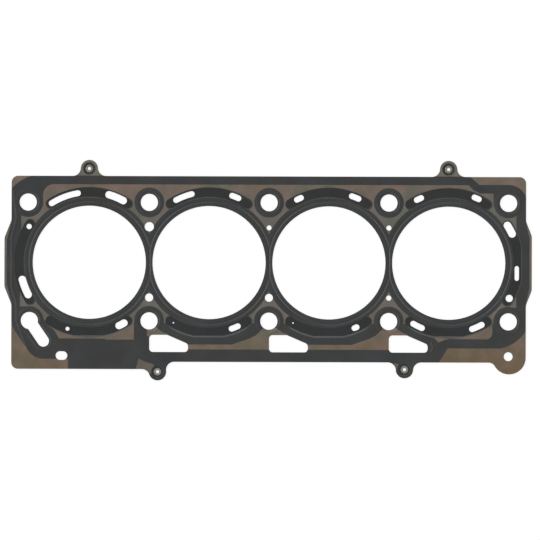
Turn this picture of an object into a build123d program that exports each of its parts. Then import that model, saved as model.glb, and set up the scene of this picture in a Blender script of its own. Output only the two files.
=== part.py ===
"""Cylinder head gasket of three steel sheets for a four-cylinder in-line engine.

Flat gasket, built as the real one: two pressed spring-steel sheets with printed rubber fields, a flat
carrier sheet between them, stopper shims at the cylinder openings, and four hollow rivets.
Millimetres. +X runs along the cylinder row, +Y to the straight long edge, +Z to the cylinder head.
The origin is the centre of the head bolt pattern, in the middle plane of the carrier sheet.
"""
from build123d import *
import math
import os

# Cylinder row
bore_pitch = 82.0
bore_count = 4
web_width = 4.6
bore_radius = (bore_pitch - web_width) / 2
bore_line_y = -0.55

# Sheets, from the middle of the pack outwards
carrier_thickness = 0.4
sheet_thickness = 0.25
coat_thickness = 0.05
stopper_thickness = 0.12
stopper_width = 1.0

# Pressed shape of the outer sheets
press_depth = 0.25
bolt_bead_height = 0.15
bore_bead_overlap = 1.0
bore_bead_slope = 0.75
bore_bead_width = 2.0
bolt_bead_land = 1.0
bolt_bead_slope = 0.7
bolt_bead_width = 1.9
bolt_bead_fade = 1.8
rim_bead_width = 2.4
press_slope = 0.55

# Water chambers: sunk arcs round each bore
chamber_gap = 5.7
chamber_width = 7.0
chamber_half_angle = 33.2
side_chamber_half_angle = 32.6
chamber_lower_flat = 11.8
chamber_right_flat = 11.4
chamber_radius = bore_radius + chamber_gap + chamber_width / 2

# Head bolts
bolt_hole_radius = 5.85
bolt_row_spacing = 81.1
bolt_row_top = bolt_row_spacing / 2 - bore_line_y
bolt_row_bottom = -bolt_row_spacing / 2 - bore_line_y
bolt_columns = [-bore_pitch, 0.0, bore_pitch]
outer_bolt_right_x = 2 * bore_pitch - 0.1
outer_bolt_left_top_x = -2 * bore_pitch - 0.9
outer_bolt_left_bottom_x = -2 * bore_pitch + 0.1
keyhole_reach = (9.5, -13.9)
keyhole_slot_radius = 3.95

# Outline
side_reach = 12.1
top_reach = 20.4
bottom_left_reach = 34.35
bottom_right_reach = 29.3
tab_left_reach = 4.8
tab_right_reach = 4.0
tab_half_height = 28.8
tab_left_slope_height = 12.0
tab_right_slope_height = 10.2
tab_corner_radius = 7.0
corner_radius = 4.5
plate_left = -2 * bore_pitch - side_reach - 0.2
plate_right = 2 * bore_pitch + side_reach - 0.2
plate_top = bore_radius + top_reach
plate_bottom_left = -bore_radius - bottom_left_reach
plate_bottom_right = -bore_radius - bottom_right_reach
lobe_radius = 11.4
lobe_root_radius = 4.5
lobe_centre = (plate_right - lobe_radius, plate_bottom_right + 3.4)

# Rivets and their ears
ear_radius = 5.95
ear_root_radius = 5.5
ear_top_rise = 5.05
ear_bottom_drop = 4.9
rivet_hole_radius = 1.05
rivet_shank_radius = 1.6
rivet_flange_radius = 2.55
rivet_flange_thickness = 0.32
rivet_fit = 0.05
dimple_floor_radius = 3.6
rivets = {
    "rivet_top_left": (-1.5 * bore_pitch - 0.1, plate_top + ear_top_rise),
    "rivet_top_right": (1.5 * bore_pitch - 0.2, plate_top + ear_top_rise),
    "rivet_bottom_left": (-bore_pitch + 5.9, plate_bottom_right - 6.8),
    "rivet_bottom_right": (bore_pitch + 10.9, plate_bottom_right - ear_bottom_drop),
}

# Oil windows, one right of each inner bolt column
window_top = -bore_radius - 10.85
window_bottom = -bore_radius - 22.55
window_start = 0.2
window_width = 26.7
window_flat = 12.4
window_slant = 6.15
window_corner = 2.5
window_bead_radius = 5.0
window_bead_gap = 3.7

# Water slots bent round a bore: bore number, angle, end-to-end length, width, and
# how far outside the middle of the chamber the slot runs
water_slots = [
    (0, 111.1, 23.3, 4.0, 0.0),
    (0, 67.6, 15.5, 4.95, 0.25),
    (0, 201.3, 16.3, 5.05, -0.55),
    (0, 297.6, 8.8, 4.9, 0.0),
    (1, 111.2, 15.3, 3.9, 0.5),
    (1, 68.4, 8.5, 3.9, 0.5),
    (1, 291.7, 8.5, 3.9, -0.1),
    (2, 115.2, 6.9, 3.9, 0.6),
    (2, 68.3, 8.8, 3.9, 0.4),
    (2, 292.5, 5.5, 3.9, 0.0),
    (3, 115.0, 7.1, 3.95, 0.6),
    (3, 66.9, 7.1, 3.95, 0.5),
    (3, 29.0, 11.8, 5.15, -0.1),
    (3, 294.0, 11.2, 4.05, -0.1),
    (3, 243.7, 10.6, 4.0, 0.1),
]

# Straight water slot at the right-hand end of the row
end_slot = (1.5 * bore_pitch + 46.6, -6.85)
end_slot_length = 10.1
end_slot_width = 2.95

# Round water and oil holes that follow a bore: bore number, angle, radius of the hole
chamber_holes = [
    (0, 149.4, 1.8),
    (0, 252.0, 1.35),
    (1, 239.5, 0.5),
    (2, 239.3, 0.5),
    (3, 330.0, 2.45),
]

# Round holes in the corners between bores: column, distance from the bore line, radius
web_holes = [
    (-bore_pitch, 24.45, 3.15),
    (-bore_pitch, -24.0, 2.75),
    (0.0, 23.9, 1.65),
    (0.0, -24.0, 2.7),
    (bore_pitch, 24.0, 1.7),
    (bore_pitch, -23.95, 1.75),
]
lobe_hole = (outer_bolt_right_x, plate_bottom_right + 4.17)
lobe_hole_radius = 3.0
stadium_hole = (outer_bolt_left_bottom_x + 22.05, plate_bottom_left + 9.15)
stadium_length = 7.9
stadium_width = 5.85

# Rubber print: how far the bare steel fields keep from what they go round
bore_print_margin = 6.7
chamber_print_margin = 0.2
bolt_print_width = 4.35
strip_height = 5.7
tab_print_margin = 1.6
keyhole_print_left = 8.3
keyhole_print_right = 4.9
strip_edge = plate_top - strip_height


def bore_x(number):
    """Centre of a cylinder opening along the row."""
    return (number - (bore_count - 1) / 2) * bore_pitch


def disc(x, y, radius):
    return Pos(x, y) * Circle(radius)


def bar(x_low, x_high, y_low, y_high):
    """Axis-parallel rectangle between two corners."""
    centre = Pos((x_low + x_high) / 2, (y_low + y_high) / 2)
    return centre * Rectangle(x_high - x_low, y_high - y_low)


def shape(points):
    """Closed polygon through the points."""
    return make_face(Polyline(*points, close=True))


def rounded_shape(points, radii):
    """Closed polygon with a radius at each corner."""
    return make_face(FilletPolyline(*points, radius=radii, close=True))


def capsule(start, end, radius):
    """Straight slot with round ends."""
    length = math.dist(start, end)
    angle = math.degrees(math.atan2(end[1] - start[1], end[0] - start[0]))
    middle = Pos((start[0] + end[0]) / 2, (start[1] + end[1]) / 2) * Rot(0, 0, angle)
    return disc(*start, radius) + middle * Rectangle(length, 2 * radius) + disc(*end, radius)


def on_bore_circle(number, angle, radius):
    """Point at an angle round a cylinder opening."""
    turn = math.radians(angle)
    return bore_x(number) + radius * math.cos(turn), radius * math.sin(turn)


def arc_slot(number, angle, span, width, radius=chamber_radius):
    """Slot bent round a bore, with round ends; span is the angle between the end centres."""
    half = width / 2
    first, last = angle - span / 2, angle + span / 2
    centre = (bore_x(number), 0)
    edges = [
        CenterArc(centre, radius + half, first, span),
        CenterArc(on_bore_circle(number, last, radius), half, last, 180),
        CenterArc(centre, radius - half, first, span),
        CenterArc(on_bore_circle(number, first, radius), half, first + 180, 180),
    ]
    return make_face(edges)


def slot_span(length, width):
    """Angle between the end centres of a slot of this end-to-end length."""
    return math.degrees((length - width) / chamber_radius)


# Chambers as bore number, angle, half angle and reach of a flat outer edge, or none
lower_reach = bore_radius + chamber_lower_flat
right_reach = bore_radius + chamber_right_flat
chambers = [(number, 90.0, chamber_half_angle, None) for number in range(bore_count)]
chambers += [(number, 270.0, chamber_half_angle, lower_reach) for number in range(bore_count)]
chambers += [(0, 180.0, side_chamber_half_angle, None)]
chambers += [(bore_count - 1, 0.0, side_chamber_half_angle, right_reach)]

keyhole_start = (outer_bolt_left_bottom_x, bolt_row_bottom)
keyhole_end = (keyhole_start[0] + keyhole_reach[0], keyhole_start[1] + keyhole_reach[1])


def root_fillet(centre, radius, root_radius, edge_y, out, side):
    """Fillet from the plate edge to a round ear: its end on the edge, its middle and its end on the ear."""
    x, y = centre
    root_y = edge_y + out * root_radius
    reach = math.sqrt((radius + root_radius) ** 2 - (y - root_y) ** 2)
    root = (x + side * reach, root_y)
    share = radius / (radius + root_radius)
    on_ear = (x + (root[0] - x) * share, y + (root[1] - y) * share)
    on_edge = (root[0], edge_y)
    middle = ((on_ear[0] + on_edge[0]) / 2 - root[0], (on_ear[1] + on_edge[1]) / 2 - root[1])
    stretch = root_radius / math.hypot(*middle)
    return on_edge, (root[0] + middle[0] * stretch, root[1] + middle[1] * stretch), on_ear


def ear(centre, left_edge, right_edge, inside_y):
    """Round ear with filleted roots on the plate edge, which may lie at two levels."""
    out = math.copysign(1.0, centre[1] - left_edge)
    left = root_fillet(centre, ear_radius, ear_root_radius, left_edge, out, -1)
    right = root_fillet(centre, ear_radius, ear_root_radius, right_edge, out, 1)
    tip = (centre[0], centre[1] + out * ear_radius)
    edges = [
        Line((left[0][0], inside_y), (right[0][0], inside_y)),
        Line((right[0][0], inside_y), right[0]),
        ThreePointArc(*right),
        ThreePointArc(right[2], tip, left[2]),
        ThreePointArc(left[2], left[1], left[0]),
        Line(left[0], (left[0][0], inside_y)),
    ]
    return make_face(edges)


def lobe(inside_y):
    """Round foot at the lower right corner, which runs into the right edge."""
    x, y = lobe_centre
    left = root_fillet(lobe_centre, lobe_radius, lobe_root_radius, plate_bottom_right, -1, -1)
    edges = [
        Line((left[0][0], inside_y), (plate_right, inside_y)),
        Line((plate_right, inside_y), (plate_right, y)),
        ThreePointArc((plate_right, y), (x, y - lobe_radius), left[2]),
        ThreePointArc(left[2], left[1], left[0]),
        Line(left[0], (left[0][0], inside_y)),
    ]
    return make_face(edges)


def tab_corners(edge_x, reach, slope_height, margin):
    """Four corners of the shallow tab on a short side, drawn in by a margin."""
    base = tab_half_height - margin
    outer = base - slope_height
    tip = edge_x + math.copysign(abs(reach) - margin, reach)
    return [(edge_x, base), (tip, outer), (tip, -outer), (edge_x, -base)]


def plate_outline():
    """Outer edge of all three sheets."""
    step_x = rivets["rivet_bottom_left"][0]
    left_tab = tab_corners(plate_left, -tab_left_reach, tab_left_slope_height, 0.0)
    right_tab = tab_corners(plate_right, tab_right_reach, tab_right_slope_height, 0.0)[::-1]
    points = [(plate_left, plate_top)] + left_tab + [(plate_left, plate_bottom_left)]
    points += [(step_x, plate_bottom_left), (step_x, plate_bottom_right)]
    points += [(plate_right, plate_bottom_right)] + right_tab + [(plate_right, plate_top)]
    soft = [tab_corner_radius] * 4
    radii = [corner_radius] + soft + [corner_radius, 1.0, 1.0, corner_radius] + soft + [corner_radius]
    outline = rounded_shape(points, radii)
    inside_top = plate_top - corner_radius
    inside_bottom = plate_bottom_right + corner_radius
    outline += ear(rivets["rivet_top_left"], plate_top, plate_top, inside_top)
    outline += ear(rivets["rivet_top_right"], plate_top, plate_top, inside_top)
    outline += ear(rivets["rivet_bottom_left"], plate_bottom_left, plate_bottom_right, inside_bottom)
    outline += ear(rivets["rivet_bottom_right"], plate_bottom_right, plate_bottom_right, inside_bottom)
    outline += lobe(lobe_centre[1] + corner_radius)
    return outline


def window(column):
    """Five-sided oil window with one slanted corner."""
    left = column + window_start
    right = column + window_width
    points = [
        (left, window_bottom),
        (right, window_bottom),
        (right, window_top - window_slant),
        (column + window_flat, window_top),
        (left, window_top),
    ]
    return rounded_shape(points, [window_corner] * 5)


def bolt_holes():
    """Centres of the round head bolt holes."""
    holes = [(x, y) for x in bolt_columns for y in (bolt_row_top, bolt_row_bottom)]
    holes += [(outer_bolt_right_x, bolt_row_top), (outer_bolt_right_x, bolt_row_bottom)]
    return holes + [(outer_bolt_left_top_x, bolt_row_top)]


def through_holes():
    """Every opening that goes through all sheets."""
    holes = [disc(bore_x(number), 0, bore_radius) for number in range(bore_count)]
    holes += [disc(x, y, bolt_hole_radius) for x, y in bolt_holes()]
    holes += [disc(*keyhole_start, bolt_hole_radius)]
    holes += [capsule(keyhole_start, keyhole_end, keyhole_slot_radius)]
    holes += [window(column) for column in bolt_columns]
    holes += [arc_slot(number, angle, slot_span(length, width), width, chamber_radius + offset)
              for number, angle, length, width, offset in water_slots]
    holes += [disc(*on_bore_circle(number, angle, chamber_radius), radius)
              for number, angle, radius in chamber_holes]
    holes += [disc(*hole) for hole in web_holes]
    holes += [disc(*lobe_hole, lobe_hole_radius)]
    x, y = end_slot
    half = (end_slot_length - end_slot_width) / 2
    holes += [capsule((x, y - half), (x, y + half), end_slot_width / 2)]
    half = (stadium_length - stadium_width) / 2
    x, y = stadium_hole
    holes += [capsule((x - half, y), (x + half, y), stadium_width / 2)]
    return holes


def ring_solid(radius_in, radius_out, slope_in, slope_out, height, turn=360):
    """Bead of trapezoid section turned about the Z axis, up or down from Z = 0."""
    section = Plane.XZ * Polyline(
        (radius_in, 0),
        (radius_out, 0),
        (radius_out - slope_out, height),
        (radius_in + slope_in, height),
        close=True,
    )
    return revolve(make_face(section), Axis.Z, turn)


def bore_beads():
    """Full bead round each bore, pressed towards the carrier; two neighbours share one along the web."""
    half_pitch = bore_pitch / 2
    middle = half_pitch + bore_bead_overlap
    bead_in = middle - bore_bead_width / 2
    bead_out = middle + bore_bead_width / 2
    ring = ring_solid(bead_in, bead_out, bore_bead_slope, bore_bead_slope, -press_depth)
    meet = math.sqrt(middle ** 2 - half_pitch ** 2)
    gap = Box(2 * bore_bead_width + bore_bead_overlap, 2 * meet, 4 * press_depth)
    beads = []
    for number in range(bore_count):
        bead = ring
        if number > 0:
            bead -= Pos(-middle, 0, 0) * gap
        if number < bore_count - 1:
            bead -= Pos(middle, 0, 0) * gap
            low = (bore_x(number) + half_pitch, -meet)
            high = (bore_x(number) + half_pitch, meet)
            beads.append(straight_bead(low, high, bore_bead_width, bore_bead_slope, -press_depth))
        beads.append(Pos(bore_x(number), 0, 0) * bead)
    return beads


def bolt_bead(x, y, radius, turn=360, start=0.0):
    """Low bead round a hole of this radius, or part of the way round it."""
    inner = radius + bolt_bead_land
    outer = inner + bolt_bead_width
    ring = ring_solid(inner, outer, bolt_bead_slope, bolt_bead_slope, bolt_bead_height, turn)
    return Pos(x, y, 0) * Rot(0, 0, start) * ring


def fading_bead(x, y):
    """Low bead round a bolt hole, steep to the hole and slowly falling away outwards."""
    inner = bolt_hole_radius + bolt_bead_land
    outer = inner + bolt_bead_width + bolt_bead_fade - bolt_bead_slope
    return Pos(x, y, 0) * ring_solid(inner, outer, bolt_bead_slope, bolt_bead_fade, bolt_bead_height)


def bead_end(x, y, width):
    """Round end or corner of a low bead."""
    return Pos(x, y, bolt_bead_height / 2) * Cone(width / 2, width / 2 - bolt_bead_slope, bolt_bead_height)


def straight_bead(start, end, width, slope=bolt_bead_slope, height=bolt_bead_height):
    """Bead between two points, without its ends."""
    heading = math.degrees(math.atan2(end[1] - start[1], end[0] - start[0]))
    half = width / 2
    top = half - slope
    section = Plane.YZ * Polyline((-half, 0), (half, 0), (top, height), (-top, height), close=True)
    length = math.dist(start, end)
    return Pos(*start, 0) * Rot(0, 0, heading) * extrude(make_face(section), length, dir=(1, 0, 0))


def keyhole_beads():
    """Bead that goes round the bolt hole with its slot."""
    heading = math.degrees(math.atan2(keyhole_reach[1], keyhole_reach[0]))
    length = math.hypot(*keyhole_reach)
    along = (keyhole_reach[0] / length, keyhole_reach[1] / length)
    offset = keyhole_slot_radius + bolt_bead_land + bolt_bead_width / 2
    start = bolt_hole_radius + bolt_bead_land
    beads = [bolt_bead(*keyhole_start, bolt_hole_radius)]
    beads += [bolt_bead(*keyhole_end, keyhole_slot_radius, 180, heading - 90)]
    for side in (-1, 1):
        across = (-along[1] * side * offset, along[0] * side * offset)
        first = (keyhole_start[0] + across[0], keyhole_start[1] + across[1])
        first = (first[0] + along[0] * start, first[1] + along[1] * start)
        last = (keyhole_end[0] + across[0], keyhole_end[1] + across[1])
        beads.append(straight_bead(first, last, bolt_bead_width))
    return beads


def window_bead():
    """Short bead bent round the far end of the last window."""
    turn = 66.0
    x = bolt_columns[-1] + window_width + window_bead_gap - window_bead_radius
    y = window_bottom + window_bead_gap
    radius = window_bead_radius - bolt_bead_land - bolt_bead_width / 2
    beads = [bolt_bead(x, y, radius, turn, -turn / 2)]
    for end in (math.radians(-turn / 2), math.radians(turn / 2)):
        end_x = x + window_bead_radius * math.cos(end)
        end_y = y + window_bead_radius * math.sin(end)
        beads.append(bead_end(end_x, end_y, bolt_bead_width))
    return beads


def rim_bead():
    """Low bead along the left edge, from the corner bolt round the tab to the keyhole."""
    root = plate_left + 3.9
    tip = plate_left - tab_left_reach + 5.3
    bend = tab_half_height - tab_left_slope_height
    path = [
        (plate_left + 1.9, bolt_row_top + 7.0),
        (root, tab_half_height + 2.0),
        (tip, bend),
        (tip, -bend),
        (root, -tab_half_height),
        (root, bolt_row_bottom),
        (keyhole_end[0] - 11.0, keyhole_end[1] - 4.5),
    ]
    beads = [bead_end(x, y, rim_bead_width) for x, y in path]
    return beads + [straight_bead(start, end, rim_bead_width) for start, end in zip(path, path[1:])]


def chamber_recess(number, angle, half_angle, reach):
    """Sunk arc with sloped walls and round ends, from Z = 0 down to the carrier."""
    half = chamber_width / 2
    floor = half - press_slope
    section = Plane.XZ * Polyline(
        (chamber_radius - half, 0),
        (chamber_radius + half, 0),
        (chamber_radius + floor, -press_depth),
        (chamber_radius - floor, -press_depth),
        close=True,
    )
    recess = Rot(0, 0, angle - half_angle) * revolve(make_face(section), Axis.Z, 2 * half_angle)
    for end in (angle - half_angle, angle + half_angle):
        turn = math.radians(end)
        place = Pos(chamber_radius * math.cos(turn), chamber_radius * math.sin(turn), -press_depth / 2)
        recess += place * Cone(floor, half, press_depth)
    if reach:
        recess &= Rot(0, 0, angle) * flat_cut(reach)
    return Pos(bore_x(number), 0, 0) * recess


def flat_cut(reach):
    """Space inside a straight edge across the +X side of a bore, with the chambers' sloped wall."""
    section = Plane.XZ * Polyline(
        (reach, 0), (0, 0), (0, -press_depth), (reach - press_slope, -press_depth), close=True
    )
    return extrude(Pos(0, bore_pitch, 0) * make_face(section), 2 * bore_pitch, dir=(0, -1, 0))


def rivet_dimple(x, y):
    """Round dimple that brings the sheet down to the carrier under a rivet."""
    dimple = Cone(dimple_floor_radius, dimple_floor_radius + press_slope, press_depth)
    return Pos(x, y, -press_depth / 2) * dimple


def pressed_shape():
    """What stands up from the sheet and what is sunk into it, both measured from Z = 0."""
    raised = [fading_bead(x, y) for x, y in bolt_holes()]
    raised += keyhole_beads() + window_bead() + rim_bead()
    sunk = bore_beads()
    sunk += [chamber_recess(*chamber) for chamber in chambers]
    sunk += [rivet_dimple(x, y) for x, y in rivets.values()]
    return Part() + raised, Part() + sunk


def formed_layer(region, raised, sunk, start, thickness):
    """A layer of even thickness that follows the pressed shape, starting this far above it."""
    low = Pos(0, 0, start)
    high = Pos(0, 0, start + thickness)
    blank = bar(2 * plate_left, 2 * plate_right, 2 * plate_bottom_left, 2 * plate_top)
    layer = low * extrude(blank, thickness) + high * raised + low * sunk
    layer = layer - low * raised - high * sunk
    reach = 2 * (bolt_bead_height + press_depth + thickness)
    tool = Pos(0, 0, start - reach / 2) * extrude(region, reach + thickness)
    return layer & tool


def window_field(column, wide):
    """Bare steel at the upper left of a window; the wide one runs on to the next window."""
    top = window_top
    band_top = top - 6.5
    band_bottom = window_bottom + 1.8
    hole_low = bolt_row_bottom - bolt_hole_radius
    right = [(13.1, top - 1.0), (13.4, top + 0.3), (8.6, top + 2.3), (4.8, hole_low + 1.6)]
    if not wide:
        points = [(-1.5, hole_low + 2.0), (-1.5, top - 1.0)] + right
        return shape([(column + x, y) for x, y in points])
    strip_end = window_width - bore_pitch
    points = [
        (0.0, hole_low + 2.0),
        (-4.2, hole_low + 0.7),
        (-9.0, top - 0.2),
        (-13.5, top - 2.5),
        (-19.5, top - 4.5),
        (-25.3, band_top),
        (strip_end, band_top),
        (strip_end, band_bottom),
        (2.0, band_bottom),
    ]
    return shape([(column + x, y) for x, y in points + right])


def upper_fields():
    """Bare steel between the cylinder openings and the long straight edge."""
    left = outer_bolt_left_top_x + bolt_hole_radius + bolt_print_width - 0.1
    right = outer_bolt_right_x - bolt_hole_radius - bolt_print_width - 0.1
    shoulder = bolt_row_top + bolt_hole_radius + 0.85
    low = bore_radius / 2
    foot = bolt_row_top
    points = [
        (left, strip_edge),
        (left, foot),
        (outer_bolt_left_top_x - 4.8, foot),
        (outer_bolt_left_top_x - 4.8, low),
        (outer_bolt_right_x + 5.4, low),
        (outer_bolt_right_x + 5.4, foot),
        (right, foot),
        (right, shoulder),
        (right - 9.1, shoulder),
        (right - 14.1, strip_edge - 3.0),
        (right - 17.1, strip_edge),
    ]
    radii = [7.5] + [0.4] * (len(points) - 1)
    return rounded_shape(points, radii)


def lower_fields():
    """Bare steel between the cylinder openings and the windows."""
    left = keyhole_start[0] - 6.5
    right = outer_bolt_right_x + 5.4
    ring_top = bolt_row_bottom + bolt_hole_radius + 3.85
    low = -bore_radius / 2
    return (
        bar(left, right, ring_top, low)
        + bar(keyhole_start[0] + 3.0, outer_bolt_right_x - 3.0, bolt_row_bottom - 1.5, ring_top)
    )


def first_bore_field():
    """Bare sliver and triangle under the first bore."""
    strip_low = window_top - 2.65
    right = -bore_pitch - bolt_hole_radius - bolt_print_width - 0.2
    points = [
        (keyhole_start[0] + 12.9, bolt_row_bottom),
        (keyhole_start[0] + 20.4, strip_low),
        (right - 19.6, strip_low),
        (right - 19.6, strip_low - 0.7),
        (right, strip_low - 0.7),
        (right, bolt_row_bottom + 2.0),
    ]
    return shape(points)


def last_bore_field():
    """Bare sliver and field under the last bore."""
    strip_low = window_top - 2.45
    right = outer_bolt_right_x - bolt_hole_radius - bolt_print_width - 0.7
    left = bore_pitch + window_width + 4.0
    points = [
        (left, strip_low + 1.2),
        (left + 3.6, strip_low - 2.3),
        (left + 7.7, strip_low - 0.4),
        (left + 11.2, strip_low + 0.2),
        (right, strip_low - 0.1),
        (right, bolt_row_bottom + 2.0),
    ]
    return rounded_shape(points, [0.4, 0.4, 0.4, 0.4, corner_radius, 0.4])


def corner_fields():
    """Bare steel in the four corners of the plate."""
    beyond = 2 * ear_radius
    top_left = make_face([
        ThreePointArc((plate_left, plate_top - 8.8), (plate_left + 5.9, plate_top - 3.6),
                      (plate_left + 13.6, plate_top)),
        Line((plate_left + 13.6, plate_top), (plate_left + 13.6, plate_top + beyond)),
        Polyline((plate_left + 13.6, plate_top + beyond), (plate_left - beyond, plate_top + beyond),
                 (plate_left - beyond, plate_top - 8.8), (plate_left, plate_top - 8.8)),
    ])
    slant = outer_bolt_right_x - 26.4
    top_right = shape([
        (slant, plate_top), (slant + 6.3, strip_edge + 0.3), (outer_bolt_right_x, strip_edge + 0.3),
        (outer_bolt_right_x, bolt_row_top + 4.0), (plate_right + 1.0, bolt_row_top + 4.0),
        (plate_right + 1.0, plate_top + 1.0), (slant, plate_top + 1.0),
    ])
    top_right -= disc(outer_bolt_right_x, bolt_row_top, bolt_hole_radius + 6.75)
    edge = plate_right + 1.0
    bottom_right = make_face([
        ThreePointArc((outer_bolt_right_x - 4.9, window_bottom + 3.0),
                      (outer_bolt_right_x + 5.6, window_bottom + 8.0),
                      (edge, bolt_row_bottom - 4.8)),
        Polyline((edge, bolt_row_bottom - 4.8), (edge, plate_bottom_left - beyond),
                 (outer_bolt_right_x - 47.5, plate_bottom_left - beyond),
                 (outer_bolt_right_x - 47.5, plate_bottom_right),
                 (outer_bolt_right_x - 41.4, window_bottom + 3.0),
                 (outer_bolt_right_x - 4.9, window_bottom + 3.0)),
    ])
    stadium_right = stadium_hole[0] + 4.4
    bottom_left = bar(plate_left - 1.0, stadium_right, plate_bottom_left - 1.0, keyhole_start[1])
    bottom_left -= capsule(keyhole_start, keyhole_end, keyhole_slot_radius + keyhole_print_left)
    bottom_left -= bar(keyhole_end[0], stadium_right + 1.0, plate_bottom_left + 6.95, 0.0)
    return [top_left, top_right, bottom_right, bottom_left]


def ear_fields():
    """Bare steel on the upper ears and beside the lower ones."""
    fields = []
    for name in ("rivet_top_left", "rivet_top_right"):
        x, y = rivets[name]
        fields.append(bar(x - 3 * ear_radius, x + 3 * ear_radius, plate_top + 0.25, y + 2 * ear_radius))
    x, y = rivets["rivet_bottom_left"]
    fields.append(shape([
        (x - 14.9, y + 1.9), (x - 13.1, y + 9.0), (x - 8.4, y + 6.8), (x - 2.9, y + 5.2),
        (x - 2.4, y + 3.8), (x - 4.0, y - 1.2), (x - 9.9, y - 1.2),
    ]))
    x, y = rivets["rivet_bottom_right"]
    fields.append(shape([(x - 7.0, y + 4.6), (x - 4.0, y + 3.8), (x - 5.4, y), (x - 7.0, y)]))
    return fields


def bare_fields():
    """All fields of the sheet that carry no rubber print."""
    fields = upper_fields() + lower_fields() + first_bore_field() + last_bore_field()
    fields -= [disc(bore_x(number), 0, bore_radius + bore_print_margin) for number in range(bore_count)]
    width = chamber_width + 2 * chamber_print_margin
    fields -= [arc_slot(number, angle, 2 * half, width) for number, angle, half, _ in chambers]
    fields -= [disc(x, y, bolt_hole_radius + bolt_print_width) for x, y in bolt_holes()]
    fields -= disc(*keyhole_start, bolt_hole_radius + bolt_print_width - 0.4)
    fields -= capsule(keyhole_start, keyhole_end, keyhole_slot_radius + keyhole_print_right)
    fields += [window_field(column, column > bolt_columns[0]) for column in bolt_columns]
    fields += corner_fields()
    fields += ear_fields()
    tabs = [
        (plate_left, -tab_left_reach, tab_left_slope_height),
        (plate_right, tab_right_reach, tab_right_slope_height),
    ]
    for edge, reach, slope_height in tabs:
        tab = shape(tab_corners(edge, reach * 2, slope_height, -tab_left_reach))
        fields += tab - shape(tab_corners(edge, reach, slope_height, tab_print_margin))
    return fields


def print_region(plate):
    """Fields of rubber print: the plate without its bare fields, with a ring at each rivet."""
    region = plate - bare_fields()
    dimple_radius = dimple_floor_radius + press_slope + chamber_print_margin
    region += [disc(x, y, dimple_radius) for x, y in rivets.values()]
    return region - [disc(x, y, rivet_flange_radius + 2 * rivet_fit) for x, y in rivets.values()]


def rivet(x, y, half_grip):
    """Hollow rivet with a rolled flange on both sides of the pack."""
    flange = half_grip + rivet_flange_thickness
    lip = rivet_flange_thickness / 2
    profile = Polyline(
        (rivet_hole_radius, -flange), (rivet_hole_radius, flange), (rivet_flange_radius, flange),
        (rivet_flange_radius, half_grip), (rivet_shank_radius, half_grip), (rivet_shank_radius, -half_grip),
        (rivet_flange_radius, -half_grip), (rivet_flange_radius, -flange), close=True,
    )
    body = revolve(make_face(Plane.XZ * profile), Axis.Z)
    rims = [edge for edge in body.edges().filter_by(GeomType.CIRCLE)
            if abs(edge.center().Z) > flange - 0.01]
    return Pos(x, y, 0) * fillet(rims, lip * 0.9)


def build_pieces():
    """All pieces by name, in the frame of the bore line."""
    outline = plate_outline()
    plate = outline - through_holes()
    rivet_bores = [disc(x, y, rivet_shank_radius + rivet_fit) for x, y in rivets.values()]
    sheet = plate - rivet_bores
    raised, sunk = pressed_shape()
    field = carrier_thickness / 2 + press_depth
    lift = Pos(0, 0, field)
    upper = lift * formed_layer(sheet, raised, sunk, 0.0, sheet_thickness)
    coat = lift * formed_layer(print_region(plate), raised, sunk, sheet_thickness, coat_thickness)
    pieces = {
        "upper_layer": upper,
        "upper_coat": coat,
        "carrier_layer": Pos(0, 0, -carrier_thickness / 2) * extrude(sheet, carrier_thickness),
        "lower_layer": mirror(upper, about=Plane.XY),
        "lower_coat": mirror(coat, about=Plane.XY),
    }
    shim = Circle(bore_radius + stopper_width) - Circle(bore_radius)
    for number in range(bore_count):
        place = Pos(bore_x(number), 0, carrier_thickness / 2)
        pieces[f"stopper_ring_{number + 1}"] = place * extrude(shim, stopper_thickness)
    for name, (x, y) in rivets.items():
        pieces[name] = rivet(x, y, carrier_thickness / 2 + sheet_thickness)
    return pieces


os.makedirs("parts", exist_ok=True)
for name, piece in build_pieces().items():
    export_step(Pos(0, bore_line_y, 0) * piece, f"parts/{name}.step")
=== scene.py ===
import math

import bpy
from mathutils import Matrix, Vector


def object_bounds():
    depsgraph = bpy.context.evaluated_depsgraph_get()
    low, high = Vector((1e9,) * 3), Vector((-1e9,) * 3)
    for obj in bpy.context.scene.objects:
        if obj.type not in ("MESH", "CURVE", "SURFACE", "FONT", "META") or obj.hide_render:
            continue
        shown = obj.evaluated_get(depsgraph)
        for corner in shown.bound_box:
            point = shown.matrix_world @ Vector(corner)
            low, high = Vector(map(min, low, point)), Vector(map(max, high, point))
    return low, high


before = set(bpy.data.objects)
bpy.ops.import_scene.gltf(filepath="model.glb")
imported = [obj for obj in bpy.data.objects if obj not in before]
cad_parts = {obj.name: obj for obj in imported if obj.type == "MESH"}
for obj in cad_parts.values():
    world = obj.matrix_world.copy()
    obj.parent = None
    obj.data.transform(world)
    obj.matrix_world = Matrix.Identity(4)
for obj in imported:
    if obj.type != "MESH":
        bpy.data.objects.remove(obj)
cad_low, cad_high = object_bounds()

MM = 0.001

# camera: straight down, as wide as the photograph at the gasket's height
PHOTO_WIDTH = 369.6 * MM
PHOTO_CENTRE_X = 0.70 * MM
PHOTO_CENTRE_Y = -5.50 * MM
PHOTO_ROLL = math.radians(0.165)
CAMERA_HEIGHT = 0.9
CAMERA_NEAR = 0.01
CAMERA_FAR = 10.0

# light: three lamps as one broad soft strip on the left, a low one beyond the long straight edge,
# and an even sky all round
LAMPS = [
    # azimuth, elevation, strength
    (math.radians(138), math.radians(52), 0.62),
    (math.radians(180), math.radians(52), 0.62),
    (math.radians(222), math.radians(52), 0.62),
    (math.radians(92), math.radians(38), 0.60),
]
LAMP_SOFTNESS = math.radians(24)
SKY_LEVEL = 0.55
WHITE = (1, 1, 1, 1)

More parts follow.
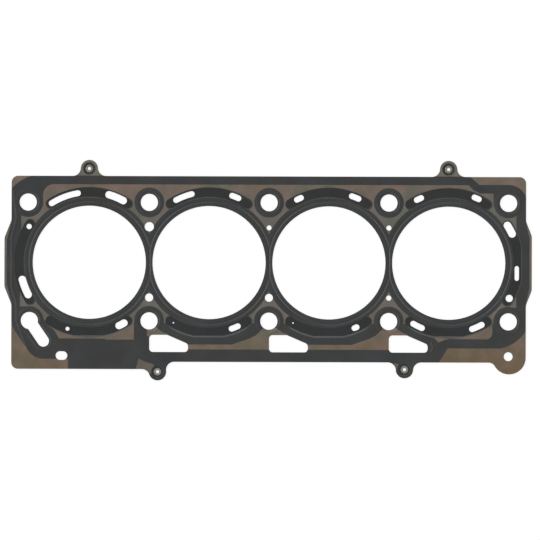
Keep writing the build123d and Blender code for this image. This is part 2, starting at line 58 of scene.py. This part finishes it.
# floor: mostly its own white where it is seen directly, the rest lit paper that takes the shadow
FLOOR_SIDE = 4.0
FLOOR_GAP = 0.02 * MM
FLOOR_PAPER = (0.93, 0.93, 0.93, 1)
FLOOR_GLOW = 1.01
FLOOR_GLOW_SHARE = 0.88

# the gasket's own places: the height of the sunk print, the row of bores, and the beads, chambers
# and chambers' lips round each bore
RECESS_TOP = 0.50 * MM
BORE_PITCH = 82.0 * MM
BORE_LINE_Y = -0.55 * MM
BEAD_OUTSIDE = 43.2 * MM
CHAMBER_OUTSIDE = 51.4 * MM
CHAMBER_FLAT = 50.5 * MM
LIP_REACH = 25.0 * MM
LIP_WIDTH = 0.9 * MM

# where the bare steel changes colour
BROWN_FROM, BROWN_TO = 30.0 * MM, 58.0 * MM  # distance from the row of bores
OCHRE_FROM, OCHRE_TO = -40.0 * MM, -74.0 * MM  # Y, down to the lower edge
OCHRE_LEFT, OCHRE_RIGHT = -80.0 * MM, 120.0 * MM  # X, along which the ochre turns yellower
UPPER_EARS_Y = 58.5 * MM
LOWER_EARS_Y = -66.5 * MM
EARS_MIDDLE = 8.0 * MM
EARS_REACH = 101.0 * MM


def srgb(red, green, blue):
    """A colour of 0 to 255 values, as the linear colour that the shaders take."""
    def linear(value):
        part = value / 255
        return part / 12.92 if part <= 0.04045 else ((part + 0.055) / 1.055) ** 2.4
    return (linear(red), linear(green), linear(blue), 1.0)


class Graph:
    """One material's node tree, with a short call for each kind of node."""

    def __init__(self, name):
        self.material = bpy.data.materials.new(name)
        self.material.use_nodes = True
        self.tree = self.material.node_tree
        self.tree.nodes.clear()
        self.output = self.tree.nodes.new("ShaderNodeOutputMaterial")
        self.shader = self.tree.nodes.new("ShaderNodeBsdfPrincipled")
        self.join(self.shader.outputs["BSDF"], self.output.inputs["Surface"])

    def node(self, kind):
        return self.tree.nodes.new(kind)

    def join(self, source, target):
        self.tree.links.new(source, target)

    def place(self, stretch=(1, 1, 1), turn=0.0):
        """Object coordinates in metres, turned about Z and then stretched."""
        source = self.node("ShaderNodeTexCoord")
        mapping = self.node("ShaderNodeMapping")
        mapping.inputs["Rotation"].default_value = (0, 0, turn)
        mapping.inputs["Scale"].default_value = stretch
        self.join(source.outputs["Object"], mapping.inputs["Vector"])
        return mapping.outputs["Vector"]

    def parts(self):
        """X, Y and Z of the point, in metres."""
        source = self.node("ShaderNodeTexCoord")
        split = self.node("ShaderNodeSeparateXYZ")
        self.join(source.outputs["Object"], split.inputs["Vector"])
        return split.outputs["X"], split.outputs["Y"], split.outputs["Z"]

    def noise(self, vector, scale, detail=3.0, roughness=0.5, distortion=0.0):
        texture = self.node("ShaderNodeTexNoise")
        texture.inputs["Scale"].default_value = scale
        texture.inputs["Detail"].default_value = detail
        texture.inputs["Roughness"].default_value = roughness
        texture.inputs["Distortion"].default_value = distortion
        self.join(vector, texture.inputs["Vector"])
        return texture.outputs["Fac"]

    def span(self, value, low, high, out_low=0.0, out_high=1.0, smooth=False):
        """The value, taken from low..high to out_low..out_high and held there."""
        mapped = self.node("ShaderNodeMapRange")
        mapped.interpolation_type = "SMOOTHSTEP" if smooth else "LINEAR"
        mapped.inputs["From Min"].default_value = low
        mapped.inputs["From Max"].default_value = high
        mapped.inputs["To Min"].default_value = out_low
        mapped.inputs["To Max"].default_value = out_high
        self.join(value, mapped.inputs["Value"])
        return mapped.outputs["Result"]

    def math(self, operation, first, second=None):
        step = self.node("ShaderNodeMath")
        step.operation = operation
        for slot, value in enumerate((first, second)):
            if value is None:
                continue
            if isinstance(value, (int, float)):
                step.inputs[slot].default_value = value
            else:
                self.join(value, step.inputs[slot])
        return step.outputs["Value"]

    def times(self, product, *factors):
        """All the values multiplied."""
        for factor in factors:
            product = self.math("MULTIPLY", product, factor)
        return product

    def apart(self, value, place):
        """How far the value is from a place."""
        return self.math("ABSOLUTE", self.math("SUBTRACT", value, place))

    def blend(self, share, first, second):
        """The first colour at share 0 and the second at share 1."""
        mixed = self.node("ShaderNodeMix")
        mixed.data_type = "RGBA"
        self.join(share, mixed.inputs[0])
        for slot, value in ((6, first), (7, second)):
            if isinstance(value, tuple):
                mixed.inputs[slot].default_value = value
            else:
                self.join(value, mixed.inputs[slot])
        return mixed.outputs[2]

    def brighten(self, colour, factor):
        """The colour, multiplied by a grey value."""
        scaled = self.node("ShaderNodeVectorMath")
        scaled.operation = "SCALE"
        self.join(colour, scaled.inputs[0])
        self.join(factor, scaled.inputs["Scale"])
        return scaled.outputs["Vector"]

    def tint(self, colour, factors):
        """The colour, multiplied by another colour channel by channel."""
        scaled = self.node("ShaderNodeVectorMath")
        scaled.operation = "MULTIPLY"
        self.join(colour, scaled.inputs[0])
        self.join(factors, scaled.inputs[1])
        return scaled.outputs["Vector"]

    def height(self):
        """Distance from the middle of the pack, the same on both of its faces."""
        return self.math("ABSOLUTE", self.parts()[2])

    def off_row(self):
        """Distance from the line through the bores' centres."""
        return self.apart(self.parts()[1], BORE_LINE_Y)

    def along_bore(self):
        """Distance from the centre of the nearest bore, along the row."""
        half = self.math("ABSOLUTE", self.parts()[0])
        return self.math("MINIMUM", self.apart(half, 0.5 * BORE_PITCH), self.apart(half, 1.5 * BORE_PITCH))

    def off_bore(self):
        """Distance from the centre of the nearest bore."""
        along = self.along_bore()
        across = self.off_row()
        return self.math("SQRT", self.math("ADD", self.times(along, along), self.times(across, across)))

    def lower_lips(self):
        """1 along the outer lips of the lower water chambers, where the painted highlight goes, 0 elsewhere.
        """
        outside = self.math("MAXIMUM", self.math("SUBTRACT", self.off_bore(), CHAMBER_OUTSIDE),
                            self.math("SUBTRACT", self.off_row(), CHAMBER_FLAT))
        near = self.span(self.apart(outside, LIP_WIDTH / 3), LIP_WIDTH / 3, LIP_WIDTH * 2 / 3,
                         1.0, 0.0, smooth=True)
        reach = self.span(self.along_bore(), LIP_REACH, LIP_REACH + 3 * MM, 1.0, 0.0)
        below = self.span(self.parts()[1], -1 * MM, 0.0, 1.0, 0.0)
        return self.times(near, reach, below)

    def edges(self, radius):
        """1 along the sharp edges, 0 on the faces."""
        rounded = self.node("ShaderNodeBevel")
        rounded.samples = 6
        rounded.inputs["Radius"].default_value = radius
        plain = self.node("ShaderNodeNewGeometry")
        compare = self.node("ShaderNodeVectorMath")
        compare.operation = "DOT_PRODUCT"
        self.join(rounded.outputs["Normal"], compare.inputs[0])
        self.join(plain.outputs["Normal"], compare.inputs[1])
        return self.span(compare.outputs["Value"], 0.995, 0.90)

    def bumps(self, *layers):
        """Adds up (height, strength, depth in metres) layers into the shader's normal."""
        normal = None
        for value, strength, depth in layers:
            bump = self.node("ShaderNodeBump")
            bump.inputs["Strength"].default_value = strength
            bump.inputs["Distance"].default_value = depth
            self.join(value, bump.inputs["Height"])
            if normal is not None:
                self.join(normal, bump.inputs["Normal"])
            normal = bump.outputs["Normal"]
        self.join(normal, self.shader.inputs["Normal"])

    def finish(self, colour, roughness):
        self.join(colour, self.shader.inputs["Base Color"])
        self.join(roughness, self.shader.inputs["Roughness"])
        return self.material


def sheet_steel():
    """Spring steel under a thin baked lacquer: grey by the bores, browner to the long edges, mottled."""
    g = Graph("sheet_steel_look")
    x, y, _ = g.parts()
    broad = g.noise(g.place(), scale=30.0, detail=2.0, distortion=0.6)
    patches = g.noise(g.place(turn=0.7), scale=85.0, roughness=0.55, distortion=0.4)
    grain = g.noise(g.place(stretch=(1.0, 9.0, 1.0)), scale=900.0, detail=2.0, roughness=0.6)
    speckle = g.noise(g.place(), scale=2600.0, detail=2.0, roughness=0.7)

    # grey, brown to the long edges, ochre at the lower one, olive on the ears
    outer = g.math("ADD", g.span(g.off_row(), BROWN_FROM, BROWN_TO, smooth=True),
                   g.span(broad, 0.35, 0.65, -0.3, 0.3))
    base = g.blend(g.span(outer, 0.0, 1.0), srgb(85, 83, 78), srgb(95, 84, 75))
    low = g.span(y, OCHRE_FROM, OCHRE_TO, smooth=True)
    ochre = g.blend(g.span(x, OCHRE_LEFT, OCHRE_RIGHT), srgb(92, 80, 66), srgb(90, 77, 59))
    base = g.blend(g.times(low, g.span(broad, 0.3, 0.7, 0.75, 1.0)), base, ochre)
    base = g.blend(g.span(y, UPPER_EARS_Y, UPPER_EARS_Y + 1.5 * MM), base, srgb(88, 87, 80))
    between = g.span(g.apart(x, EARS_MIDDLE), EARS_REACH, EARS_REACH + 2 * MM, 1.0, 0.0)
    lower_ears = g.times(between, g.span(y, LOWER_EARS_Y, LOWER_EARS_Y + 1 * MM, 1.0, 0.0))
    base = g.blend(lower_ears, base, srgb(80, 78, 68))

    # mottling between an olive and a rosy tint, rolling grain, specks
    mottle = g.span(g.math("ADD", g.times(broad, 0.5), g.times(patches, 0.5)), 0.40, 0.60, smooth=True)
    base = g.tint(base, g.blend(mottle, (0.94, 1.00, 0.91, 1.0), (1.06, 0.99, 1.01, 1.0)))
    level = g.times(g.span(patches, 0.3, 0.7, 0.88, 1.12), g.span(grain, 0.25, 0.75, 0.93, 1.07),
                    g.span(speckle, 0.3, 0.7, 0.93, 1.07))
    colour = g.brighten(base, level)

    wear = g.span(g.noise(g.place(), scale=400.0, detail=2.0), 0.3, 0.7, 0.3, 0.9)
    colour = g.blend(g.times(g.edges(0.22 * MM), wear), colour, srgb(132, 128, 118))
    g.shader.inputs["Metallic"].default_value = 0.75
    g.bumps((grain, 0.25, 0.02 * MM), (speckle, 0.2, 0.01 * MM))
    return g.finish(colour, g.span(grain, 0.2, 0.8, 0.42, 0.56))


def rubber_print():
    """Screen-printed rubber: slate black, fine pores, with painted shade darkening the sunk water chambers
    and a painted highlight along the lower chambers' outer lips.
    """
    g = Graph("rubber_print_look")
    cloud = g.noise(g.place(), scale=55.0, roughness=0.55, distortion=0.3)
    drift = g.noise(g.place(turn=1.1), scale=32.0, detail=2.0, distortion=0.5)
    peel = g.noise(g.place(), scale=1500.0, detail=2.0, roughness=0.55)
    pores = g.noise(g.place(), scale=4200.0, detail=2.0, roughness=0.6)

    # slate, with painted shade darkening it where it is sunk, though not in the beads by the bores, and a
    # painted highlight on the lower chambers' outer lips
    sunk_painted_shade = g.span(g.height(), RECESS_TOP + 0.04 * MM, RECESS_TOP + 0.20 * MM, 1.0, 0.0)
    beside = g.span(g.off_bore(), BEAD_OUTSIDE - 0.2 * MM, BEAD_OUTSIDE + 0.2 * MM)
    shaded_floor_tone = g.blend(g.span(g.parts()[1], 0.0, 25 * MM), srgb(16, 20, 21), srgb(19, 20, 18))
    base = g.blend(g.times(sunk_painted_shade, beside), srgb(38, 39, 39), shaded_floor_tone)
    # painted highlight: a lighter band along the outer lips of the lower water chambers
    lip_painted_highlight = g.times(g.lower_lips(), g.span(drift, 0.3, 0.7, 0.65, 1.0))
    base = g.blend(lip_painted_highlight, base, srgb(74, 75, 75))

    # drifting between a bluish and a brownish tint, clouds, and the rough skin of the print
    base = g.tint(base, g.blend(g.span(drift, 0.35, 0.65), (0.93, 0.98, 1.06, 1.0), (1.04, 1.00, 0.93, 1.0)))
    level = g.times(g.span(cloud, 0.3, 0.7, 0.84, 1.16), g.span(peel, 0.3, 0.7, 0.90, 1.10))
    colour = g.brighten(base, level)

    wear = g.span(g.noise(g.place(), scale=500.0, detail=2.0), 0.35, 0.65, 0.2, 0.9)
    colour = g.blend(g.times(g.edges(0.12 * MM), wear), colour, srgb(76, 76, 72))
    g.shader.inputs["Specular IOR Level"].default_value = 0.3
    g.bumps((peel, 0.35, 0.02 * MM), (pores, 0.25, 0.008 * MM))
    return g.finish(colour, g.span(cloud, 0.3, 0.7, 0.33, 0.41))


def plain_steel(name, tint, bright, smooth, rough):
    """Bare rolled or drawn steel with fine streaks and a little staining; bright is its worn edges."""
    g = Graph(name)
    streaks = g.noise(g.place(stretch=(1.0, 7.0, 1.0)), scale=1200.0, detail=2.0, roughness=0.6)
    stains = g.noise(g.place(), scale=180.0, roughness=0.6, distortion=0.5)
    fine = g.noise(g.place(), scale=900.0, detail=2.0, roughness=0.6)
    level = g.times(g.span(streaks, 0.25, 0.75, 0.9, 1.08), g.span(stains, 0.3, 0.7, 0.85, 1.05),
                    g.span(fine, 0.3, 0.7, 0.88, 1.12))
    colour = g.brighten(g.blend(g.edges(0.10 * MM), tint, bright), level)
    g.shader.inputs["Metallic"].default_value = 1.0
    g.bumps((streaks, 0.2, 0.01 * MM), (fine, 0.2, 0.01 * MM))
    return g.finish(colour, g.span(stains, 0.3, 0.7, smooth, rough))


# every CAD node's surface
steel_look = sheet_steel()
print_look = rubber_print()
carrier_look = plain_steel("carrier_steel_look", srgb(112, 110, 104), srgb(150, 148, 142), 0.35, 0.5)
shim_look = plain_steel("shim_steel_look", srgb(140, 138, 132), srgb(180, 178, 172), 0.25, 0.4)
rivet_look = plain_steel("rivet_steel_look", srgb(120, 118, 110), srgb(166, 164, 155), 0.28, 0.42)

LOOKS = {
    "upper_layer": steel_look,
    "lower_layer": steel_look,
    "upper_coat": print_look,
    "lower_coat": print_look,
    "carrier_layer": carrier_look,
    "stopper_ring_1": shim_look,
    "stopper_ring_2": shim_look,
    "stopper_ring_3": shim_look,
    "stopper_ring_4": shim_look,
    "rivet_top_left": rivet_look,
    "rivet_top_right": rivet_look,
    "rivet_bottom_left": rivet_look,
    "rivet_bottom_right": rivet_look,
}
for node_name, look in LOOKS.items():
    for material_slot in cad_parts[node_name].material_slots:
        material_slot.material = look


def seen_directly(tree):
    """1 for camera, glossy and transmission rays, which see the background as white."""
    path = tree.nodes.new("ShaderNodeLightPath")
    first = tree.nodes.new("ShaderNodeMath")
    first.operation = "MAXIMUM"
    second = tree.nodes.new("ShaderNodeMath")
    second.operation = "MAXIMUM"
    tree.links.new(path.outputs["Is Camera Ray"], first.inputs[0])
    tree.links.new(path.outputs["Is Glossy Ray"], first.inputs[1])
    tree.links.new(first.outputs["Value"], second.inputs[0])
    tree.links.new(path.outputs["Is Transmission Ray"], second.inputs[1])
    return second.outputs["Value"]


def floor():
    """A plain pale floor under the gasket, white where the camera or a gloss sees it, shadow kept."""
    bpy.ops.mesh.primitive_plane_add(size=FLOOR_SIDE, location=(0, 0, cad_low.z - FLOOR_GAP))
    plane = bpy.context.object
    plane.name = "floor"
    material = bpy.data.materials.new("floor_look")
    material.use_nodes = True
    tree = material.node_tree
    tree.nodes.clear()
    output = tree.nodes.new("ShaderNodeOutputMaterial")
    paper = tree.nodes.new("ShaderNodeBsdfDiffuse")
    paper.inputs["Color"].default_value = FLOOR_PAPER
    glow = tree.nodes.new("ShaderNodeEmission")
    glow.inputs["Color"].default_value = WHITE
    glow.inputs["Strength"].default_value = FLOOR_GLOW
    mixed = tree.nodes.new("ShaderNodeMixShader")
    share = tree.nodes.new("ShaderNodeMath")
    share.operation = "MULTIPLY"
    share.inputs[1].default_value = FLOOR_GLOW_SHARE
    tree.links.new(seen_directly(tree), share.inputs[0])
    tree.links.new(share.outputs["Value"], mixed.inputs["Fac"])
    tree.links.new(paper.outputs["BSDF"], mixed.inputs[1])
    tree.links.new(glow.outputs["Emission"], mixed.inputs[2])
    tree.links.new(mixed.outputs["Shader"], output.inputs["Surface"])
    plane.data.materials.append(material)


def sky():
    """An even sky that lights the gasket, and is white where it is seen directly."""
    world = bpy.data.worlds.new("sky")
    bpy.context.scene.world = world
    world.use_nodes = True
    tree = world.node_tree
    tree.nodes.clear()
    output = tree.nodes.new("ShaderNodeOutputWorld")
    lit = tree.nodes.new("ShaderNodeBackground")
    lit.inputs["Color"].default_value = WHITE
    lit.inputs["Strength"].default_value = SKY_LEVEL
    shown = tree.nodes.new("ShaderNodeBackground")
    shown.inputs["Color"].default_value = WHITE
    shown.inputs["Strength"].default_value = 1.0
    mixed = tree.nodes.new("ShaderNodeMixShader")
    tree.links.new(seen_directly(tree), mixed.inputs["Fac"])
    tree.links.new(lit.outputs["Background"], mixed.inputs[1])
    tree.links.new(shown.outputs["Background"], mixed.inputs[2])
    tree.links.new(mixed.outputs["Shader"], output.inputs["Surface"])


def lamps():
    """The soft lamps, each a distant one that shines down from its azimuth and elevation."""
    for azimuth, elevation, strength in LAMPS:
        lamp = bpy.data.lights.new("lamp", "SUN")
        lamp.energy = strength
        lamp.angle = LAMP_SOFTNESS
        holder = bpy.data.objects.new("lamp", lamp)
        bpy.context.scene.collection.objects.link(holder)
        towards = Vector((
            math.cos(azimuth) * math.cos(elevation),
            math.sin(azimuth) * math.cos(elevation),
            math.sin(elevation),
        ))
        holder.rotation_mode = "QUATERNION"
        holder.rotation_quaternion = towards.to_track_quat("Z", "Y")


def camera():
    """The photograph's view from straight above, without perspective."""
    data = bpy.data.cameras.new("camera")
    data.type = "ORTHO"
    data.ortho_scale = PHOTO_WIDTH
    data.clip_start = CAMERA_NEAR
    data.clip_end = CAMERA_FAR
    holder = bpy.data.objects.new("camera", data)
    bpy.context.scene.collection.objects.link(holder)
    holder.location = (PHOTO_CENTRE_X, PHOTO_CENTRE_Y, CAMERA_HEIGHT)
    holder.rotation_euler = (0, 0, PHOTO_ROLL)
    bpy.context.scene.camera = holder


camera()
floor()
sky()
lamps()
bpy.context.scene.view_settings.view_transform = "Standard"
